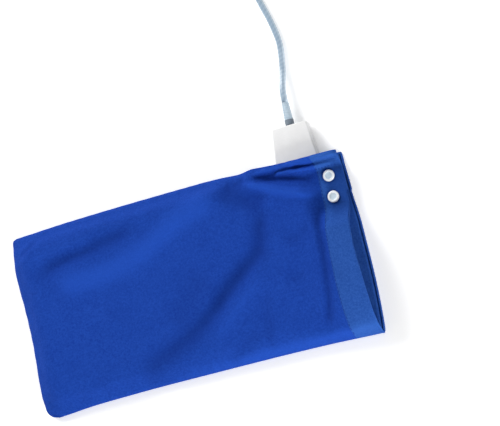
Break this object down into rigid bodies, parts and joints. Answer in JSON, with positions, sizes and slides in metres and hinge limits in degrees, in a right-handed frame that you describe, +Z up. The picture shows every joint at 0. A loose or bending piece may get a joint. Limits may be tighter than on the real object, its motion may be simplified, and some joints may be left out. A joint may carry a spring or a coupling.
{
  "type": "heated mitt",
  "caption": "Flat knit bag with a heated liner, a snapped cuff corner, a terminal block in its side slit and a cord with a hand control and a plug.",
  "frame": {"origin": "middle of the back panel's underside, on the surface that the mitt lies on", "axes": "+X from the closed end to the open cuff, +Y across the mitt towards the slit and the cord, +Z up"},
  "size_m": [0.4489, 0.5424, 0.0378],
  "materials": {
    "knit": "brushed knit",
    "cuff_band": "brushed knit",
    "thread": "sewing thread",
    "snap": "moulded",
    "vinyl": "soft vinyl",
    "felt": "needled felt",
    "heating_wire": "silicone sleeve",
    "housing": "moulded",
    "cord": "translucent vinyl",
    "collar": "soft vinyl",
    "board": "solder mask",
    "dark_plastic": "moulded",
    "screw": "zinc",
    "blade": "brass",
    "lens": "tinted clear"
  },
  "bodies": {
    "mitt": {"cover_back_panel": "knit", "cover_front_panel": "knit", "cover_seam_allowance": "knit", "cuff_hem_back": "cuff_band", "cuff_hem_front": "cuff_band", "slit_hem_back": "knit", "cuff_stitching_front": "thread", "snap_stud_1": "snap", "snap_stud_2": "snap", "snap_cap_back_1": "snap", "snap_cap_back_2": "snap", "liner_back_outer_skin": "vinyl", "liner_back_felt": "felt", "liner_back_heating_wire": "heating_wire", "liner_back_inner_skin": "vinyl", "liner_front_inner_skin": "vinyl", "liner_front_heating_wire": "heating_wire", "liner_front_felt": "felt", "liner_front_outer_skin": "vinyl", "liner_edge_binding": "vinyl", "lead_sleeve": "vinyl", "lead_splice": "dark_plastic", "thermal_cutout": "screw", "block_lower_shell": "housing", "block_upper_shell": "housing", "block_screw_1": "screw", "block_screw_2": "screw", "block_strain_relief": "collar", "lead_cord": "cord", "control_lower_shell": "housing", "control_upper_shell": "housing", "control_board": "board", "slide_switch": "dark_plastic", "indicator_lens": "lens", "control_screw_1": "screw", "control_screw_2": "screw", "control_strain_relief_1": "collar", "control_strain_relief_2": "collar", "supply_cord_link": "cord", "supply_cord_coil": "cord", "cord_tie": "dark_plastic", "supply_cord_tail": "cord", "plug_strain_relief": "collar", "plug_body": "cord", "plug_blade_1": "blade", "plug_blade_2": "blade"},
    "cuff_flap": {"cover_cuff_flap": "knit", "cuff_hem_flap": "cuff_band", "slit_hem_flap": "knit", "cuff_stitching_flap": "thread", "snap_cap_front_1": "snap", "snap_cap_front_2": "snap", "snap_socket_1": "snap", "snap_socket_2": "snap"},
    "slider": {"heat_slider": "dark_plastic"}
  },
  "joints": [
    {"name": "cuff_flap_fold", "type": "hinge", "parent": "mitt", "child": "cuff_flap", "pos_m": [0.11925, 0.04075, 0.0275], "axis": [0.7004, -0.7004, 0.1378], "range_deg": [0, 50]},
    {"name": "heat_slide", "type": "slide", "parent": "mitt", "child": "slider", "axis": [1, 0, 0], "range_m": [0, 0.012]}
  ]
}
